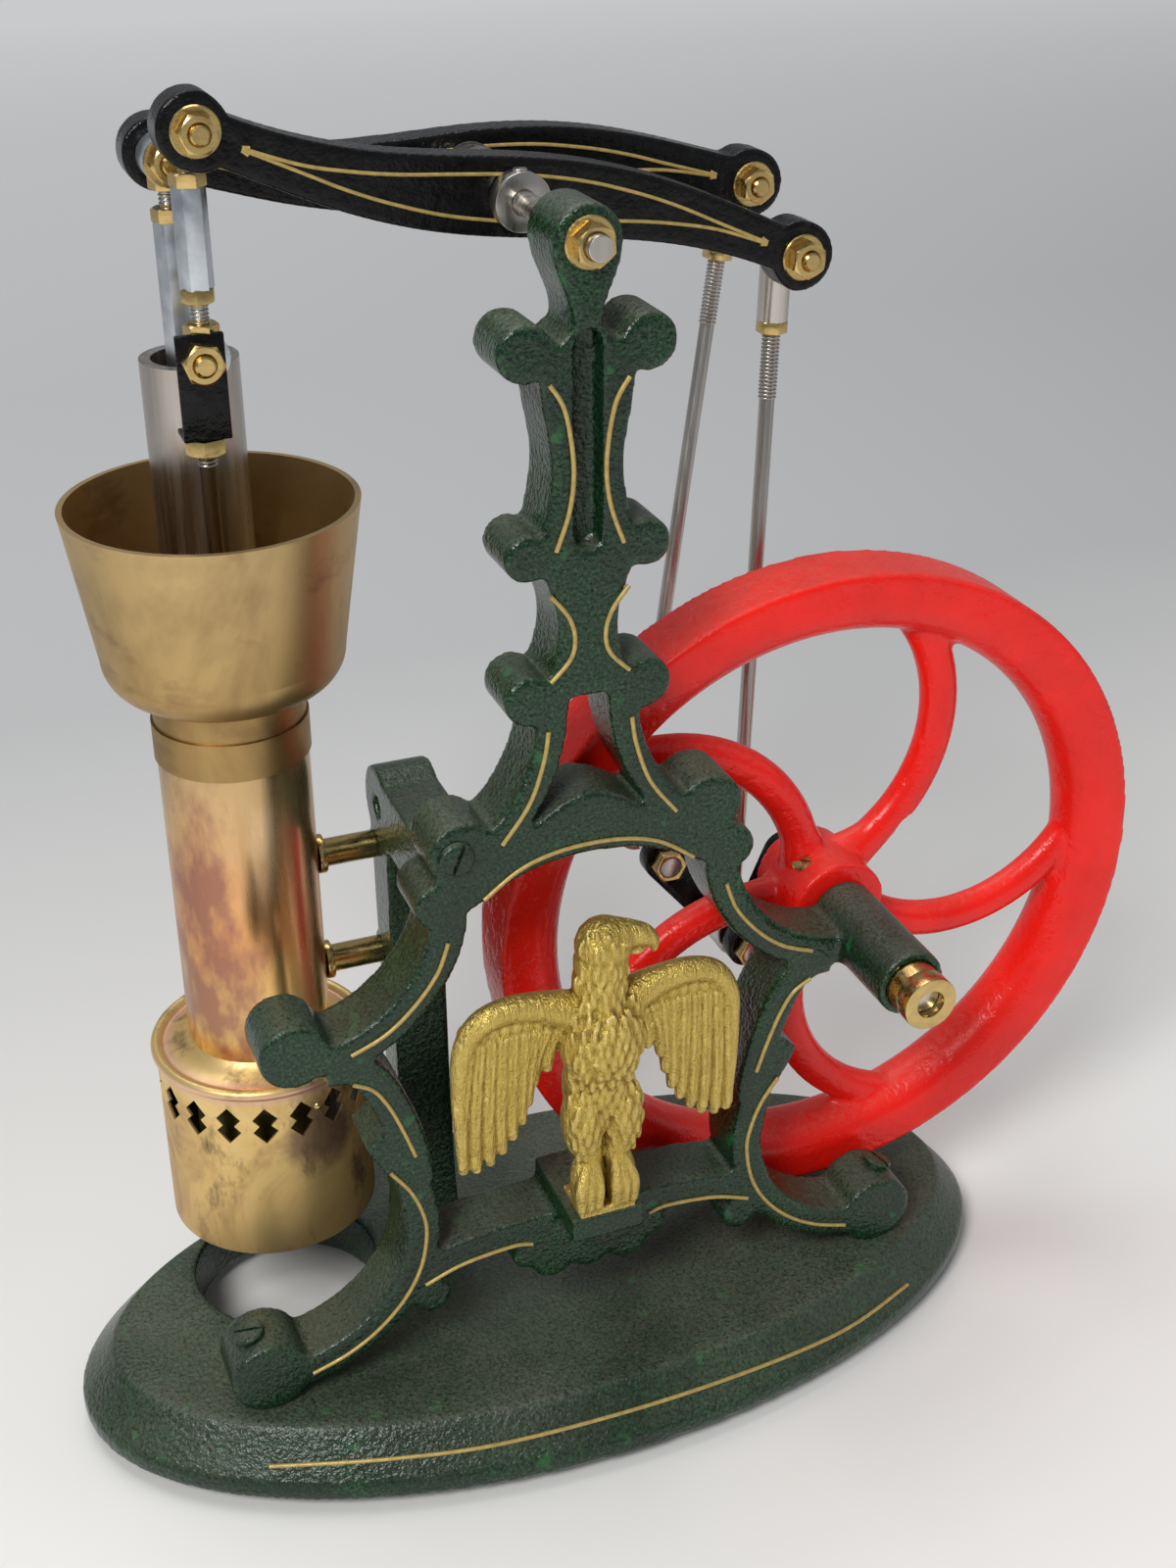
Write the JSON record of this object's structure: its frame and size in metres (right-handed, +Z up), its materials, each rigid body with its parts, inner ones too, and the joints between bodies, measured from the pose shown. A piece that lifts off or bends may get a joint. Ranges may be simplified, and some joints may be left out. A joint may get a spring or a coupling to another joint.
{
  "type": "model beam hot air engine",
  "caption": "Table-top beam hot air engine: scrolled green standard with an eagle, red curved-spoke flywheel, rocking beams, brass hot cylinder with water cup and vented burner.",
  "frame": {"origin": "on the floor, under the middle of the whole footprint from the base's left end to the flywheel's right edge", "axes": "+Z up, +X from the hot cylinder to the flywheel, +Y to the back"},
  "size_m": [0.248, 0.11, 0.2769],
  "materials": {
    "green_enamel": "dark green hammered enamel, dusty on top",
    "red_enamel": "glossy red enamel over a rough casting",
    "black_enamel": "glossy black enamel over a rough casting",
    "brass": "polished and heat-tarnished brass",
    "steel": "satin turned steel",
    "gold_paint": "gold paint on a cast figure",
    "clear_rubber": "clear soft bumpers"
  },
  "bodies": {
    "frame": {"base_plate": "green_enamel", "bumper_feet": "clear_rubber", "front_standard": "green_enamel", "eagle": "gold_paint", "bearing_bush": "brass", "cylinder_bracket": "green_enamel", "cylinder_stays": "brass", "displacer_cylinder": "brass", "cylinder_collar": "brass", "water_cup": "brass", "power_cylinder": "steel", "burner_cap": "brass", "burner_skirt": "brass", "beam_pivot_shaft": "steel", "pivot_collars": "steel", "pivot_nut": "brass"},
    "flywheel": {"flywheel": "red_enamel", "crankshaft": "steel", "shaft_collar": "brass", "front_crank_web": "black_enamel", "rear_crank_web": "black_enamel", "crank_pins": "steel", "crank_nuts": "brass"},
    "front_rod": {"front_connecting_rod": "steel", "front_rod_end": "steel", "front_rod_lock_nut": "brass"},
    "rear_rod": {"rear_connecting_rod": "steel", "rear_rod_end": "steel", "rear_rod_lock_nut": "brass"},
    "front_beam": {"front_beam": "black_enamel", "front_beam_bolts": "brass"},
    "rear_beam": {"rear_beam": "black_enamel", "rear_beam_bolts": "brass"},
    "displacer_link": {"displacer_link": "steel"},
    "piston_link": {"piston_link": "steel"},
    "displacer": {"displacer_clevis": "black_enamel", "clevis_bolt": "brass", "displacer_rod": "steel"},
    "piston": {"power_piston": "steel"}
  },
  "joints": [
    {"name": "flywheel_spin", "type": "hinge", "parent": "frame", "child": "flywheel", "pos_m": [0.04785, 0, 0.1015], "axis": [0, 1, 0], "continuous": true},
    {"name": "front_rod_swing", "type": "hinge", "parent": "flywheel", "child": "front_rod", "pos_m": [0.03847, 0, 0.07941], "axis": [0, 1, 0], "continuous": true},
    {"name": "rear_rod_swing", "type": "hinge", "parent": "flywheel", "child": "rear_rod", "pos_m": [0.02437, 0, 0.09651], "axis": [0, 1, 0], "continuous": true},
    {"name": "front_beam_rock", "type": "hinge", "parent": "frame", "child": "front_beam", "pos_m": [-0.01605, 0, 0.2546], "axis": [0, 1, 0], "range_deg": [-44.4, 1.9]},
    {"name": "rear_beam_rock", "type": "hinge", "parent": "frame", "child": "rear_beam", "pos_m": [-0.01605, 0, 0.2546], "axis": [0, 1, 0], "range_deg": [-28.8, 17.5]},
    {"name": "displacer_link_swing", "type": "hinge", "parent": "front_beam", "child": "displacer_link", "pos_m": [-0.07296, 0, 0.27017], "axis": [0, 1, 0], "range_deg": [-1.9, 44.4]},
    {"name": "piston_link_swing", "type": "hinge", "parent": "rear_beam", "child": "piston_link", "pos_m": [-0.07461, 0, 0.26179], "axis": [0, 1, 0], "range_deg": [-17.5, 28.8]},
    {"name": "displacer_slide", "type": "slide", "parent": "frame", "child": "displacer", "axis": [0, 0, 1], "range_m": [-0.04445, 0.00209]},
    {"name": "piston_slide", "type": "slide", "parent": "frame", "child": "piston", "axis": [0, 0, 1], "range_m": [-0.02905, 0.01773]}
  ],
  "couplings": [
    {"joint": "front_rod_swing", "follows": "flywheel_spin", "ratio": -1},
    {"joint": "rear_rod_swing", "follows": "flywheel_spin", "ratio": -1},
    {"joint": "displacer_link_swing", "follows": "front_beam_rock", "ratio": -1},
    {"joint": "piston_link_swing", "follows": "rear_beam_rock", "ratio": -1},
    {"joint": "displacer_slide", "follows": "front_beam_rock", "m_per_rad": 0.057098},
    {"joint": "piston_slide", "follows": "rear_beam_rock", "m_per_rad": 0.057392}
  ]
}
